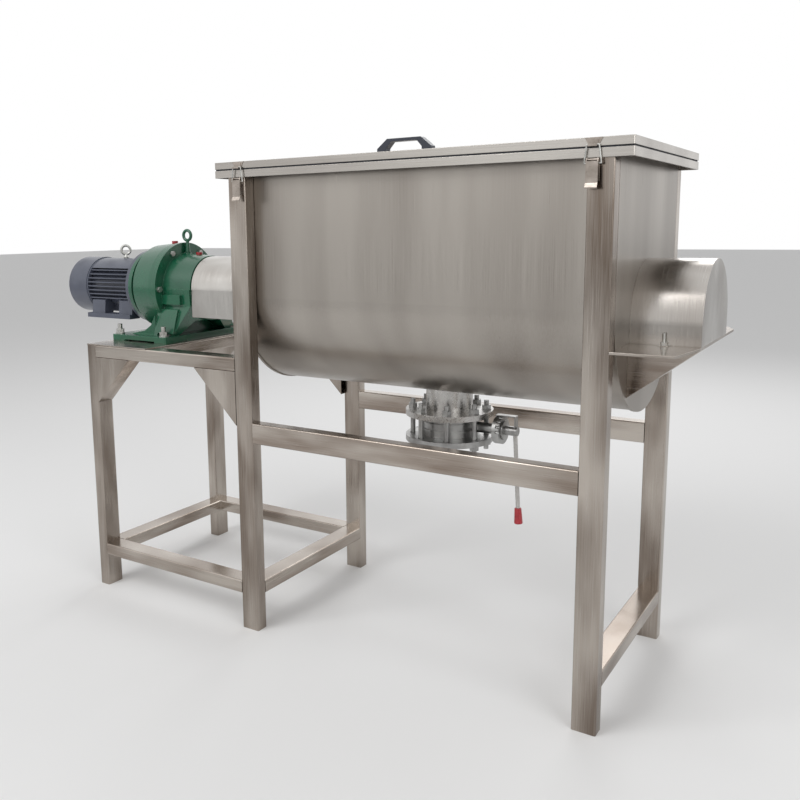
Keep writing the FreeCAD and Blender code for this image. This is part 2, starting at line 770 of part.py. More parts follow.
def build_bearing_side():
    x0, x1 = right_end, right_end + shelf_reach
    y = frame_half_width
    outline = [(x0, -y), (x1 - shelf_chamfer_reach, -y), (x1, -y + shelf_chamfer_width),
               (x1, y - shelf_rear_chamfer), (x1 - shelf_chamfer_reach, y), (x0, y)]
    shelf_bottom = shelf_height - shelf_thickness
    parts["bearing_shelf"] = prism_z(outline, shelf_bottom, shelf_height)

    low = shelf_bottom - bracket_height
    bracket = prism_y([(x0, shelf_bottom), (x1, shelf_bottom), (x0, low)],
                      -bracket_half_width, bracket_half_width)
    slope = math.hypot(shelf_reach, bracket_height)
    drop = bracket_sheet * slope / bracket_height
    rise = bracket_sheet * slope / shelf_reach
    hollow = prism_y([(x0, shelf_bottom), (x1 - drop, shelf_bottom), (x0, low + rise)],
                     -bracket_half_width + bracket_sheet, bracket_half_width - bracket_sheet)
    parts["shelf_bracket"] = bracket.cut(hollow)

    guard = arch_solid(x0, x0 + guard_length, guard_radius, guard_centre_height, shelf_height)
    room = arch_solid(x0, x0 + guard_length - guard_sheet, guard_radius - guard_sheet,
                      guard_centre_height, shelf_height)
    guard = guard.cut(room)
    tab_x = x0 + guard_length / 2
    tab = block(tab_x - 12, tab_x + 12, -guard_radius - 14, -guard_radius,
                shelf_height, shelf_height + guard_sheet)
    parts["bearing_guard"] = guard.fuse(tab).cut(
        rod_z(shelf_height, shelf_height + guard_sheet, tab_x, -guard_radius - 7, 4))
    bolt = rod_z(shelf_bottom, shelf_height + 30, tab_x, -guard_radius - 7, 4)
    parts["bearing_shelf"] = parts["bearing_shelf"].cut(
        rod_z(shelf_bottom, shelf_height, tab_x, -guard_radius - 7, 4))
    nut = hexagon_z(tab_x, -guard_radius - 7, shelf_height + guard_sheet,
                    shelf_height + guard_sheet + 7, 13)
    bearing_fasteners.append(bolt.fuse(nut).removeSplitter())

    build_pillow_block()
    build_right_gland()


def build_pillow_block():
    xc = right_end + pillow_position
    half_w, half_l = pillow_width / 2, pillow_length / 2
    seat = shelf_height + pillow_pad
    foot_top = seat + pillow_foot_height
    profile = [(-half_l, seat), (half_l, seat), (half_l, foot_top - 6),
               (half_l - 30, foot_top), (pillow_shoulder_radius + 12, foot_top + 4),
               (pillow_shoulder_radius, shaft_height), (-pillow_shoulder_radius, shaft_height),
               (-pillow_shoulder_radius - 12, foot_top + 4), (-half_l + 30, foot_top),
               (-half_l, foot_top - 6)]
    block_solid = prism_x(profile, xc - half_w, xc + half_w)
    block_solid = block_solid.fuse(rod_x(xc - half_w + 4, xc + half_w - 4, 0, shaft_height,
                                         pillow_shoulder_radius + 8))
    block_solid = block_solid.cut(rod_x(xc - half_w, xc + half_w, 0, shaft_height,
                                        pillow_insert_radius))
    bolt_y = pillow_bolt_spacing / 2
    for y in (-bolt_y, bolt_y):
        block_solid = block_solid.cut(rod_z(seat, foot_top + 10, xc, y,
                                            pillow_bolt_radius + 1))
        block_solid = block_solid.cut(rod_z(foot_top - 1.5, foot_top + 20, xc, y,
                                            nut_size * 0.62 + 2))
    parts["pillow_block"] = block_solid.removeSplitter()

    shelf = parts["bearing_shelf"].fuse(block(xc - half_w, xc + half_w, -half_l, half_l,
                                              shelf_height, seat))
    for y in (-bolt_y, bolt_y):
        shelf = shelf.cut(rod_z(shelf_height - shelf_thickness, seat, xc, y,
                                pillow_bolt_radius + 1))
    parts["bearing_shelf"] = shelf.removeSplitter()

    shelf_bottom = shelf_height - shelf_thickness
    for y in (-bolt_y, bolt_y):
        bolt = rod_z(shelf_bottom - 14, foot_top + 26, xc, y, pillow_bolt_radius)
        head = hexagon_z(xc, y, shelf_bottom - 10, shelf_bottom, nut_size)
        nut = hexagon_z(xc, y, foot_top + 2, foot_top + 15, nut_size)
        washer = rod_z(foot_top - 1.5, foot_top + 2, xc, y, nut_size * 0.62)
        bearing_fasteners.append(bolt.multiFuse([head, nut, washer]).removeSplitter())
    bearing_inserts.append(bearing_insert(xc, pillow_insert_radius, shaft_radius))


def bearing_insert(xc, outer, shaft):
    """An insert bearing's fixed ring, with a running bore for the shaft."""
    half = insert_width / 2
    ring = rod_x(xc - half, xc + half, 0, shaft_height, outer)
    return ring.cut(rod_x(xc - half, xc + half, 0, shaft_height, shaft + running_clearance))


def gland_ring(x0, x1, direction):
    """A stuffing box bolted to an end plate: a flange and a narrower nose."""
    flange = 10.0
    if direction > 0:
        wide = rod_x(x0, x0 + flange, 0, shaft_height, gland_flange_radius)
    else:
        wide = rod_x(x1 - flange, x1, 0, shaft_height, gland_flange_radius)
    box = rod_x(x0, x1, 0, shaft_height, gland_radius).fuse(wide)
    return box.cut(rod_x(x0, x1, 0, shaft_height,
                         shaft_radius + running_clearance)).removeSplitter()


def build_right_gland():
    parts["shaft_glands"] = group([
        gland_ring(right_end, right_end + gland_length, 1),
        gland_ring(left_end - gland_length, left_end, -1)])


# ---- left bearing, coupling and its guard --------------------------------------------

def build_left_bearing():
    x1 = left_end - flange_bearing_start
    x0 = x1 - flange_bearing_plate
    half = flange_bearing_side / 2
    plate = rounded_along(block(x0, x1, -half, half, shaft_height - half,
                                shaft_height + half), "x", 14)
    boss = rod_x(x0 - flange_bearing_boss, x0, 0, shaft_height, flange_bearing_radius)
    housing = plate.fuse(boss)
    housing = housing.cut(rod_x(x0 - flange_bearing_boss, x1, 0, shaft_height,
                                flange_insert_radius))
    for a in around(4, 45):
        y = standoff_circle * math.cos(a)
        z = shaft_height + standoff_circle * math.sin(a)
        housing = housing.cut(rod_x(x0, x1, y, z, standoff_radius - 2))
        post = rod_x(x1, left_end, y, z, standoff_radius)
        post = post.fuse(rod_x(x0 - 14, x1, y, z, standoff_radius - 2))
        nut = hexagon_x(x0 - 8, x0, y, z, 18)
        bearing_fasteners.append(post.fuse(nut).removeSplitter())
    parts["flange_bearing"] = housing.removeSplitter()
    bearing_inserts.append(bearing_insert(x0 - flange_bearing_boss + insert_width / 2,
                                          flange_insert_radius, journal_radius))
    parts["bearing_fasteners"] = group(bearing_fasteners)
    parts["bearing_inserts"] = group(bearing_inserts)


def coupling_half(face_x, direction, bore):
    """A hub with a disc; direction points away from the mating half."""
    disc_end = face_x + direction * coupling_disc
    hub_far = disc_end + direction * coupling_hub_length
    disc = rod_x(min(face_x, disc_end), max(face_x, disc_end), 0, shaft_height,
                 coupling_radius)
    hub = rod_x(min(disc_end, hub_far), max(disc_end, hub_far), 0, shaft_height,
                coupling_hub_radius)
    hole = rod_x(min(face_x, hub_far), max(face_x, hub_far), 0, shaft_height, bore)
    half = disc.fuse(hub).cut(hole)
    for a in around(coupling_pin_count):
        half = half.cut(rod_x(min(face_x, disc_end), max(face_x, disc_end),
                              coupling_pin_circle * math.cos(a),
                              shaft_height + coupling_pin_circle * math.sin(a),
                              coupling_pin_radius))
    return half.removeSplitter()


def build_coupling():
    middle = left_end - coupling_face
    right_face = middle + coupling_gap / 2
    left_face = middle - coupling_gap / 2
    parts["coupling_driven_half"] = coupling_half(right_face, 1, journal_radius)
    parts["coupling_driving_half"] = coupling_half(left_face, -1, output_shaft_radius)
    pins = []
    for a in around(coupling_pin_count):
        y = coupling_pin_circle * math.cos(a)
        z = shaft_height + coupling_pin_circle * math.sin(a)
        pins.append(rod_x(left_face - coupling_disc - 10, right_face + coupling_disc, y, z,
                          coupling_pin_radius))
    parts["coupling_pins"] = group(pins)
    shaft_end = left_end - reducer_end - 40
    parts["reducer_output_shaft"] = rod_x(shaft_end, left_face, 0, shaft_height,
                                          output_shaft_radius)

    x0 = left_end - reducer_end + 4
    parts["coupling_guard"] = arch_shell(x0, left_end, coupling_guard_radius, shaft_height,
                                         shaft_height - coupling_guard_drop, guard_sheet)


# ---- reducer --------------------------------------------------------------------------

def reducer_housing():
    """The foot housing: a barrel on a flared skirt, with a wall, ribs and a base."""
    wall_x1 = left_end - reducer_flange_position
    wall_x0 = wall_x1 - reducer_wall_thickness
    face_x = left_end - reducer_end
    base_top = platform_top + reducer_base_thickness
    base_x0 = left_end - reducer_base_left
    base_x1 = left_end - reducer_base_right
    width = reducer_base_half_width

    base = block(base_x0, base_x1, -width, width, platform_top, base_top)
    base = rounded_along(base, "z", 8)
    underside = block(base_x0 + 60, base_x1 - 50, -width, width, platform_top,
                      platform_top + 4)
    base = base.cut(underside)

    barrel = cone_x(wall_x1, face_x, reducer_barrel_radius, reducer_barrel_end_radius)
    skirt_top = 55.0
    foot = width - 46
    skirt = prism_x([(-reducer_barrel_radius + 2, shaft_height),
                     (-reducer_barrel_radius + 6, shaft_height - skirt_top),
                     (-foot, base_top), (foot, base_top),
                     (reducer_barrel_radius - 6, shaft_height - skirt_top),
                     (reducer_barrel_radius - 2, shaft_height)], wall_x1, face_x)
    skirt = skirt.cut(prism_y([(base_x1 - 10, base_top), (face_x, shaft_height - skirt_top),
                               (face_x + 5, shaft_height - skirt_top), (face_x + 5, base_top)],
                              -width, width))
    tunnel = prism_x([(-foot + 30, base_top), (-60, shaft_height - reducer_barrel_radius + 8),
                      (60, shaft_height - reducer_barrel_radius + 8), (foot - 30, base_top)],
                     wall_x1 + 18, face_x + 5)
    skirt = skirt.cut(tunnel)

    wall = rod_x(wall_x0, wall_x1, 0, shaft_height, reducer_flange_radius)
    wall_low = prism_x([(-reducer_flange_radius + 4, shaft_height - 30),
                        (-reducer_flange_radius + 22, shaft_height - 80),
                        (-foot - 8, base_top), (foot + 8, base_top),
                        (reducer_flange_radius - 22, shaft_height - 80),
                        (reducer_flange_radius - 4, shaft_height - 30)], wall_x0, wall_x1)
    housing = base.multiFuse([barrel, skirt, wall, wall_low])

    rib = 14.0
    for y in (-foot + rib / 2, foot - rib / 2):
        housing = housing.fuse(prism_y(
            [(base_x0 + 48, base_top), (wall_x0 - 52, base_top + 12),
             (wall_x0 - 20, base_top + 32), (wall_x0, base_top + 66),
             (wall_x0 + 2, base_top)], y - rib / 2, y + rib / 2))
    pads = []
    for side in (-1, 1):
        y_in, y_out = side * (reducer_barrel_radius - 12), side * (reducer_barrel_radius + 7)
        pads.append(block(wall_x1, face_x - 34, min(y_in, y_out), max(y_in, y_out),
                          shaft_height - 50, shaft_height - 18))
        slant = [(side * (foot - 8), base_top + 8), (side * (foot + 6), base_top + 8),
                 (side * (reducer_barrel_radius + 8), shaft_height - 66),
                 (side * (reducer_barrel_radius - 8), shaft_height - 66)]
        pads.append(prism_x(slant, wall_x1, face_x - 44))
    boss = rod_z(shaft_height + reducer_barrel_radius - 20,
                 shaft_height + reducer_barrel_radius + 2, eyebolt_x, 0, eyebolt_neck + 3)
    housing = housing.multiFuse(pads + [boss])
    housing = housing.cut(rod_x(face_x - 50, face_x, 0, shaft_height,
                                output_shaft_radius + running_clearance))
    for x, y in foot_bolt_places():
        housing = housing.cut(rod_z(platform_top, base_top, x, y, foot_bolt_radius + 1))
    return housing.removeSplitter()


eyebolt_x = left_end - reducer_flange_position + eyebolt_neck + 0.5


def foot_bolt_places():
    x0 = left_end - reducer_base_left + foot_bolt_left_inset
    x1 = left_end - reducer_base_right - foot_bolt_right_inset
    y = reducer_base_half_width - foot_bolt_inset_y
    return [(x0, -y), (x0, y), (x1, -y), (x1, y)]


def eyebolt(x, z, ring, wire, stem, neck, root, turn_deg):
    """A lifting eye on a collared neck; turn_deg turns the ring about its neck."""
    normal = Vec(math.sin(math.radians(turn_deg)), -math.cos(math.radians(turn_deg)), 0)
    eye = Part.makeTorus(ring, wire, Vec(x, 0, z + stem + ring), normal)
    collar = rod_z(z, z + 4, x, 0, neck)
    shank = Part.makeCone(neck, wire, stem - 4, Vec(x, 0, z + 4), Z_AXIS)
    join = rod_z(z + stem - 1, z + stem + wire, x, 0, wire)
    thread = rod_z(z - root, z, x, 0, wire)
    return collar.multiFuse([shank, join, eye, thread])


def build_reducer():
    parts["reducer_housing"] = reducer_housing()

    wall_x0 = left_end - reducer_flange_position - reducer_wall_thickness
    ring_x0 = left_end - reducer_ring_start
    collar_x0 = wall_x0 - reducer_flange_thickness
    chamfer = reducer_ring_chamfer
    ring = cone_x(ring_x0, ring_x0 + chamfer, reducer_ring_start_radius - chamfer,
                  reducer_ring_start_radius)
    ring = ring.fuse(cone_x(ring_x0 + chamfer, collar_x0, reducer_ring_start_radius,
                            reducer_ring_radius))
    ring = ring.fuse(rod_x(collar_x0, wall_x0, 0, shaft_height, reducer_ring_radius))
    parts["ring_gear_body"] = ring.removeSplitter()

    adapter_x0 = left_end - adapter_start
    adapter_x1 = adapter_x0 + adapter_thickness
    adapter = cone_x(adapter_x0, adapter_x0 + 4, adapter_radius - 2, adapter_radius)
    adapter = adapter.fuse(rod_x(adapter_x0 + 4, adapter_x1, 0, shaft_height,
                                 adapter_radius))
    adapter = adapter.fuse(rod_x(adapter_x1, ring_x0, 0, shaft_height,
                                 adapter_neck_radius))
    parts["motor_adapter"] = adapter.removeSplitter()

    bolts = []
    wall_x1 = left_end - reducer_flange_position
    for a in around(ring_bolt_count):
        y = ring_bolt_circle * math.cos(a)
        z = shaft_height + ring_bolt_circle * math.sin(a)
        if z > shaft_height - reducer_barrel_radius / 2:
            bolts.append(hexagon_x(wall_x1, wall_x1 + 8, y, z, 17))

    base_top = platform_top + reducer_base_thickness
    for x, y in foot_bolt_places():
        bolt = rod_z(platform_top, base_top + foot_bolt_height, x, y, foot_bolt_radius)
        washer = rod_z(base_top, base_top + 3, x, y, foot_bolt_radius * 2)
        nut = hexagon_z(x, y, base_top + 3, base_top + 3 + nut_height, nut_size)
        bolts.append(bolt.multiFuse([washer, nut]).removeSplitter())
    parts["reducer_bolts"] = group(bolts)

    boss_top = shaft_height + reducer_barrel_radius + 2
    parts["reducer_housing"] = parts["reducer_housing"].cut(
        rod_z(boss_top - 8, boss_top, eyebolt_x, 0, eyebolt_wire))
    parts["reducer_eyebolt"] = eyebolt(eyebolt_x, boss_top, eyebolt_ring, eyebolt_wire,
                                       41, eyebolt_neck, 8, 0)

    build_plugs()


def build_plugs():
    """Oil plugs: one on the ring gear body, one on the barrel."""
    plugs = []
    sink = 3.0
    ring_plug_x = left_end - 516.0
    barrel_plug_x = left_end - 405.0
    for x, radius, carrier in ((ring_plug_x, reducer_ring_radius, "ring_gear_body"),
                               (barrel_plug_x, reducer_barrel_radius - 4, "reducer_housing")):
        z = shaft_height + radius - sink
        stem = rod_z(z - 6, z, x, 0, plug_radius - 3)
        head = rod_z(z, z + sink + plug_height, x, 0, plug_radius)
        plug = stem.fuse(head).removeSplitter()
        parts[carrier] = parts[carrier].cut(plug)
        plugs.append(plug)
    parts["oil_plugs"] = group(plugs)


# ---- motor ------------------------------------------------------------------------------

def motor_frame():
    x0, x1 = left_end - motor_body_start, left_end - motor_body_end
    core = rod_x(x0, x1, 0, shaft_height, motor_core_radius)
    fins = []
    half = motor_fin_thickness / 2
    for k in range(motor_fin_count):
        offset = motor_fin_top - k * motor_fin_pitch
        reach = math.sqrt(motor_fin_radius ** 2 - (abs(offset) + half) ** 2)
        z = shaft_height + offset
        fins.append(block(x0, x1, -reach, reach, z - half, z + half))
    for y in (-36, -12, 12, 36):
        reach = math.sqrt(motor_fin_radius ** 2 - (abs(y) + 2) ** 2)
        fins.append(block(x0, x1, y - 2, y + 2, shaft_height - reach, shaft_height))
    # smooth top saddle, for the plate and the eyebolt
    saddle = rod_x(x0, x1, 0, shaft_height, motor_fin_radius)
    low = motor_fin_top + motor_fin_pitch / 2
    saddle = saddle.common(block(x0, x1, -motor_fin_radius, motor_fin_radius,
                                 shaft_height + low, shaft_height + motor_fin_radius))
    frame = core.multiFuse(fins + [saddle])

    # feet: a plate along each side, carried by a wide pad at each end
    foot_z = shaft_height - motor_foot_height
    plate_top = foot_z + motor_foot_thickness
    foot_x1 = x1 + 16
    lowest_fin = shaft_height + motor_fin_top - (motor_fin_count - 1) * motor_fin_pitch
    inner = motor_foot_half_width - motor_foot_width
    for side in (-1, 1):
        y0, y1 = sorted((side * inner, side * motor_foot_half_width))
        frame = frame.fuse(block(x0, foot_x1, y0, y1, foot_z, plate_top))
        profile = [(side * inner, plate_top - 4),
                   (side * (motor_foot_half_width - 10), plate_top - 4),
                   (side * (motor_core_radius + 6), lowest_fin - 8),
                   (side * (motor_core_radius - 10), lowest_fin), (side * 20, lowest_fin)]
        for pad_x in (x0 + 14, foot_x1 - motor_foot_pad):
            frame = frame.fuse(prism_x(profile, pad_x, pad_x + motor_foot_pad))
    flange_x0 = left_end - motor_flange_start
    end_shield = cone_x(x1, flange_x0, motor_fin_radius - 2, motor_fin_radius + 6)
    flange = rod_x(flange_x0, left_end - adapter_start, 0, shaft_height,
                   motor_flange_radius)
    spigot = rod_x(x0 - 10, x0 + 6, 0, shaft_height, fan_cover_radius - fan_cover_sheet)
    frame = frame.multiFuse([end_shield, flange, spigot])
    frame = frame.cut(rod_x(x0 - 10, x0 + 60, 0, shaft_height,
                            rotor_radius + running_clearance))
    return frame.removeSplitter()


def fan_cover():
    """A pressed cowl with a rounded shoulder and a slotted grille at its end."""
    x0, x1 = left_end - fan_cover_start, left_end - motor_body_start
    outer = rod_x(x0, x1, 0, shaft_height, fan_cover_radius)
    rear = [e for e in outer.Edges if abs(e.BoundBox.XMin - x0) < 0.1
            and e.BoundBox.XLength < 0.1]
    outer = outer.makeFillet(fan_cover_shoulder, rear)
    inner = rod_x(x0 + fan_cover_sheet, x1, 0, shaft_height,
                  fan_cover_radius - fan_cover_sheet)
    inner_rear = [e for e in inner.Edges if abs(e.BoundBox.XMin - x0 - fan_cover_sheet) < 0.1
                  and e.BoundBox.XLength < 0.1]
    inner = inner.makeFillet(fan_cover_shoulder - fan_cover_sheet, inner_rear)
    cover = outer.cut(inner)
    opening = fan_cover_radius - 22
    slot = 5.0
    pitch = 2 * opening / (2 * fan_grille_bars + 1)
    slots = []
    for k in range(-fan_grille_bars, fan_grille_bars + 1):
        z = shaft_height + k * pitch
        reach = math.sqrt(max(opening ** 2 - (k * pitch) ** 2, 1)) - 2
        if reach < 12 or k == 0:
            continue
        for side in (-1, 1):
            y0, y1 = sorted((side * 5, side * reach))
            slots.append(block(x0, x0 + fan_cover_sheet, y0, y1, z - slot / 2, z + slot / 2))
    return cover.cut(group(slots))


def build_motor():
    parts["motor_frame"] = motor_frame()
    parts["fan_cover"] = fan_cover()
    top = shaft_height + motor_fin_radius
    eye_x = left_end - 762.0
    parts["motor_frame"] = parts["motor_frame"].cut(rod_z(top - 10, top, eye_x, 0, 4.6))
    parts["motor_eyebolt"] = eyebolt(eye_x, top, 15.5, 4.6, 13, 9, 8, 50)

    # terminal box on the far side, with its gland below
    box_x = left_end - 790.0
    y0 = motor_fin_radius - 8
    box = rounded_along(block(box_x - 52, box_x + 52, y0, y0 + 46, shaft_height - 4,
                              shaft_height + 92), "y", 10)
    cap = rounded_along(block(box_x - 55, box_x + 55, y0 + 46, y0 + 56, shaft_height - 7,
                              shaft_height + 95), "y", 12)
    gland = rod_z(shaft_height - 24, shaft_height - 4, box_x - 20, y0 + 24, 12)
    box = box.multiFuse([cap, gland]).removeSplitter()
    parts["terminal_box"] = box.cut(parts["motor_frame"])

    x0 = left_end - motor_body_start
    shaft_end = left_end - fan_cover_start + 16
    parts["motor_rotor"] = rod_x(shaft_end, x0 + 56, 0, shaft_height, rotor_radius)
    hub = rod_x(shaft_end + 4, x0 - 14.5, 0, shaft_height, rotor_radius + 12)
    back = rod_x(x0 - 18.5, x0 - 14.5, 0, shaft_height, fan_radius)
    fan = hub.fuse(back)
    for a in around(fan_blade_count):
        blade = block(shaft_end + 20, x0 - 16, rotor_radius + 8, fan_radius,
                      shaft_height - 2, shaft_height + 2)
        blade.rotate(Vec(0, 0, shaft_height), X_AXIS, math.degrees(a))
        fan = fan.fuse(blade)
    fan = fan.cut(rod_x(shaft_end, x0, 0, shaft_height, rotor_radius))
    parts["cooling_fan"] = fan.removeSplitter()


# ---- agitator -----------------------------------------------------------------------------

def ribbon(x_start, length, inner_radius, outer_radius, hand, phase_deg):
    """One flight: a flat strip on edge, carried round the shaft along a helix.

    The strip's section is a rectangle, its width along the radius and its
    thickness along the shaft, swept with its width always radial.
    """
    pitch = length / ribbon_turns
    helix = Part.makeHelix(pitch, length, (inner_radius + outer_radius) / 2, 0, hand < 0)
    half = ribbon_thickness / 2
    section = Part.makePolygon([Vec(inner_radius, 0, -half), Vec(outer_radius, 0, -half),
                                Vec(outer_radius, 0, half), Vec(inner_radius, 0, half),
                                Vec(inner_radius, 0, -half)])
    sweep = Part.BRepOffsetAPI.MakePipeShell(Part.Wire(helix.Edges))
    sweep.setBiNormalMode(Z_AXIS)
    sweep.add(section)
    sweep.build()
    sweep.makeSolid()
    flight = sweep.shape()
    flight.rotate(Vec(0, 0, 0), Z_AXIS, phase_deg)
    flight.rotate(Vec(0, 0, 0), Y_AXIS, 90)
    flight.translate(Vec(x_start, 0, shaft_height))
    return flight


def build_agitator():
    start = -inner_half_length + ribbon_end_gap + ribbon_thickness / 2
    half_length = -start - ribbon_thickness / 2
    outer_edge = trough_bore - outer_ribbon_gap
    outer_root = outer_edge - outer_ribbon_width
    inner_root = inner_ribbon_radius - inner_ribbon_width
    phases = [360.0 * k / ribbon_starts for k in range(ribbon_starts)]

    flights = {}
    for name, root, edge, hand in (("outer_ribbons", outer_root, outer_edge, 1),
                                   ("inner_ribbons", inner_root, inner_ribbon_radius, -1)):
        left = [ribbon(start, half_length, root, edge, hand, p) for p in phases]
        flights[name] = left + [mirror_x(f) for f in left]

    journal_end = left_end - coupling_face + coupling_gap / 2
    shoulder = left_end - gland_length
    shaft = rod_x(shoulder, right_end + guard_length - 14, 0, shaft_height, shaft_radius)
    shaft = shaft.fuse(rod_x(journal_end, shoulder, 0, shaft_height, journal_radius))
    spokes = []
    per_half = int(round(spokes_per_turn * ribbon_turns))
    for k in range(-per_half, per_half + 1):
        x = -k * start / per_half
        if abs(k) == per_half:
            x -= math.copysign(spoke_radius - ribbon_thickness / 2 + 0.6, k)
        turn = (per_half - abs(k)) * 360.0 / spokes_per_turn
        spoke = rod_z(-outer_root - 14, outer_root + 14, 0, 0, spoke_radius)
        spoke.rotate(Vec(0, 0, 0), Z_AXIS, 37)
        spoke.rotate(Vec(0, 0, 0), X_AXIS, turn)
        spoke.translate(Vec(x, 0, shaft_height))
        spokes.append(spoke)
    return shaft, spokes, flights


def finish_agitator():
    shaft, spokes, flights = build_agitator()
    strips = [f for strip_set in flights.values() for f in strip_set]
    for spoke in spokes:
        shaft = shaft.cut(spoke)
    slotted = []
    outer_edge = trough_bore - outer_ribbon_gap
    bands = [(outer_edge - outer_ribbon_width, outer_edge),
             (inner_ribbon_radius - inner_ribbon_width, inner_ribbon_radius)]
    reliefs = []                    # where the flights of both hands meet at the middle spoke
    for root, edge in bands:
        reliefs.append(block(-1, 1, -1, 1, shaft_height + root - 0.5, shaft_height + edge + 0.5))
        reliefs.append(block(-1, 1, -1, 1, shaft_height - edge - 0.5, shaft_height - root + 0.5))
    for spoke in spokes:
        near = [f for f in strips if f.BoundBox.intersect(spoke.BoundBox)]
        middle = abs(spoke.BoundBox.Center.x) < 1
        slotted.append(spoke.cut(near + reliefs if middle else near) if near else spoke)
    parts["agitator_shaft"] = shaft
    parts["ribbon_spokes"] = group(slotted)
    for name, strip_set in flights.items():
        parts[name] = group(strip_set)


# ---- build and export ---------------------------------------------------------------------

build_frame()
build_gussets()
build_trough()
build_lid()
build_hinges()
build_latches()
build_discharge()
build_valve_lever()
build_bearing_side()
build_left_bearing()
build_coupling()
build_reducer()
build_motor()
finish_agitator()

machine_box = FreeCAD.BoundBox()
for shape in parts.values():
    machine_box.add(shape.optimalBoundingBox(False))
origin_shift = Vec(-machine_box.Center.x, -machine_box.Center.y, -machine_box.ZMin)

os.makedirs("parts", exist_ok=True)
for name, shape in parts.items():
    shape.translate(origin_shift)
    shape.exportStep("parts/" + name + ".step")
print(len(parts), "nodes, box", machine_box, "shift", origin_shift)
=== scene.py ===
import math

import bpy
from mathutils import Matrix, Vector

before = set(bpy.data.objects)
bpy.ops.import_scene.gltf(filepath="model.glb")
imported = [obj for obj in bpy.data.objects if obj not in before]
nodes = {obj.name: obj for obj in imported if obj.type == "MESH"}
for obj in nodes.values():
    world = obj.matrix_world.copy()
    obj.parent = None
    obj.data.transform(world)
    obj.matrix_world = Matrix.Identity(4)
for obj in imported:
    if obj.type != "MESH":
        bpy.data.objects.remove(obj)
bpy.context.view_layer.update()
print("frame loaded:", len(nodes), "nodes")

viewValues = {
    "place": (1.49121, -2.17260, 1.19446),
    "turn": 33.33, "tilt": 80.95, "roll": -0.74,      # degrees
    "lens": 38.64, "sensor": 36.0,
    "shiftX": 0.0629, "shiftY": -0.0444,
    "farthest": 200,                                  # metres drawn
}


def makeCamera(values):
    # camera matrix: turn about the upright, then tilt, then a small roll about its own axis
    camera = bpy.data.objects.new("viewCamera", bpy.data.cameras.new("viewCamera"))
    bpy.context.scene.collection.objects.link(camera)
    turn = Matrix.Rotation(math.radians(values["turn"]), 4, "Z")
    tilt = Matrix.Rotation(math.radians(values["tilt"]), 4, "X")
    roll = Matrix.Rotation(math.radians(values["roll"]), 4, "Z")
    camera.matrix_world = Matrix.Translation(values["place"]) @ turn @ tilt @ roll
    camera.data.lens = values["lens"]
    camera.data.sensor_width = values["sensor"]
    camera.data.shift_x = values["shiftX"]
    camera.data.shift_y = values["shiftY"]
    camera.data.clip_end = values["farthest"]
    bpy.context.scene.camera = camera
    bpy.context.scene.view_settings.view_transform = "Standard"


lightValues = {
    "worldLevel": 0.55, "backgroundLevel": 1.0,
    "floorColor": (0.86, 0.86, 0.86, 1), "floorHalf": 40.0,
    "floorRoughness": 0.9, "floorShine": 0.1,
    # name, place, aim, width, power in watts
    "lamps": [("keyLamp", (-1.6, -3.6, 4.2), (0.2, 0.0, 0.8), 2.6, 95.0),
              ("fillLamp", (4.2, -2.0, 2.6), (0.3, 0.0, 0.8), 2.4, 45.0),
              ("backLamp", (-0.5, 4.0, 3.8), (0.0, 0.0, 0.9), 3.0, 60.0)],
}


def makeWorld(values):
    # the background's level where the camera, gloss or glass looks, the world's level elsewhere
    world = bpy.data.worlds.new("paleWorld")
    bpy.context.scene.world = world
    world.use_nodes = True
    tree = world.node_tree
    tree.nodes.clear()
    path = tree.nodes.new("ShaderNodeLightPath")
    seen = tree.nodes.new("ShaderNodeMath")
    seen.operation = "MAXIMUM"
    seenToo = tree.nodes.new("ShaderNodeMath")
    seenToo.operation = "MAXIMUM"
    tree.links.new(path.outputs["Is Camera Ray"], seen.inputs[0])
    tree.links.new(path.outputs["Is Glossy Ray"], seen.inputs[1])
    tree.links.new(seen.outputs[0], seenToo.inputs[0])
    tree.links.new(path.outputs["Is Transmission Ray"], seenToo.inputs[1])
    level = tree.nodes.new("ShaderNodeMapRange")
    level.inputs["To Min"].default_value = values["worldLevel"]
    level.inputs["To Max"].default_value = values["backgroundLevel"]
    tree.links.new(seenToo.outputs[0], level.inputs["Value"])
    background = tree.nodes.new("ShaderNodeBackground")
    background.inputs["Color"].default_value = (1, 1, 1, 1)
    tree.links.new(level.outputs[0], background.inputs["Strength"])
    output = tree.nodes.new("ShaderNodeOutputWorld")
    tree.links.new(background.outputs[0], output.inputs["Surface"])


def makeStage(values):
    # one square of floor, and a soft area lamp for each row of the lamps
    half = values["floorHalf"]
    mesh = bpy.data.meshes.new("paleFloor")
    corners = [(-half, -half, 0), (half, -half, 0), (half, half, 0), (-half, half, 0)]
    mesh.from_pydata(corners, [], [(0, 1, 2, 3)])
    floor = bpy.data.objects.new("paleFloor", mesh)
    bpy.context.scene.collection.objects.link(floor)
    material = bpy.data.materials.new("paleFloor")
    material.use_nodes = True
    tree = material.node_tree
    shader = tree.nodes["Principled BSDF"]
    shader.inputs["Base Color"].default_value = values["floorColor"]
    shader.inputs["Roughness"].default_value = values["floorRoughness"]
    shader.inputs["Specular IOR Level"].default_value = values["floorShine"]
    mesh.materials.append(material)
    for name, place, aim, width, power in values["lamps"]:
        lamp = bpy.data.lights.new(name, "AREA")
        lamp.size = width
        lamp.energy = power
        holder = bpy.data.objects.new(name, lamp)
        bpy.context.scene.collection.objects.link(holder)
        holder.location = place
        sight = Vector(aim) - Vector(place)
        holder.rotation_euler = sight.to_track_quat("-Z", "Y").to_euler()


makeCamera(viewValues)
makeWorld(lightValues)
makeStage(lightValues)
print("camera, floor and lamps made")

# shared effects: groups that give out masks and normals only

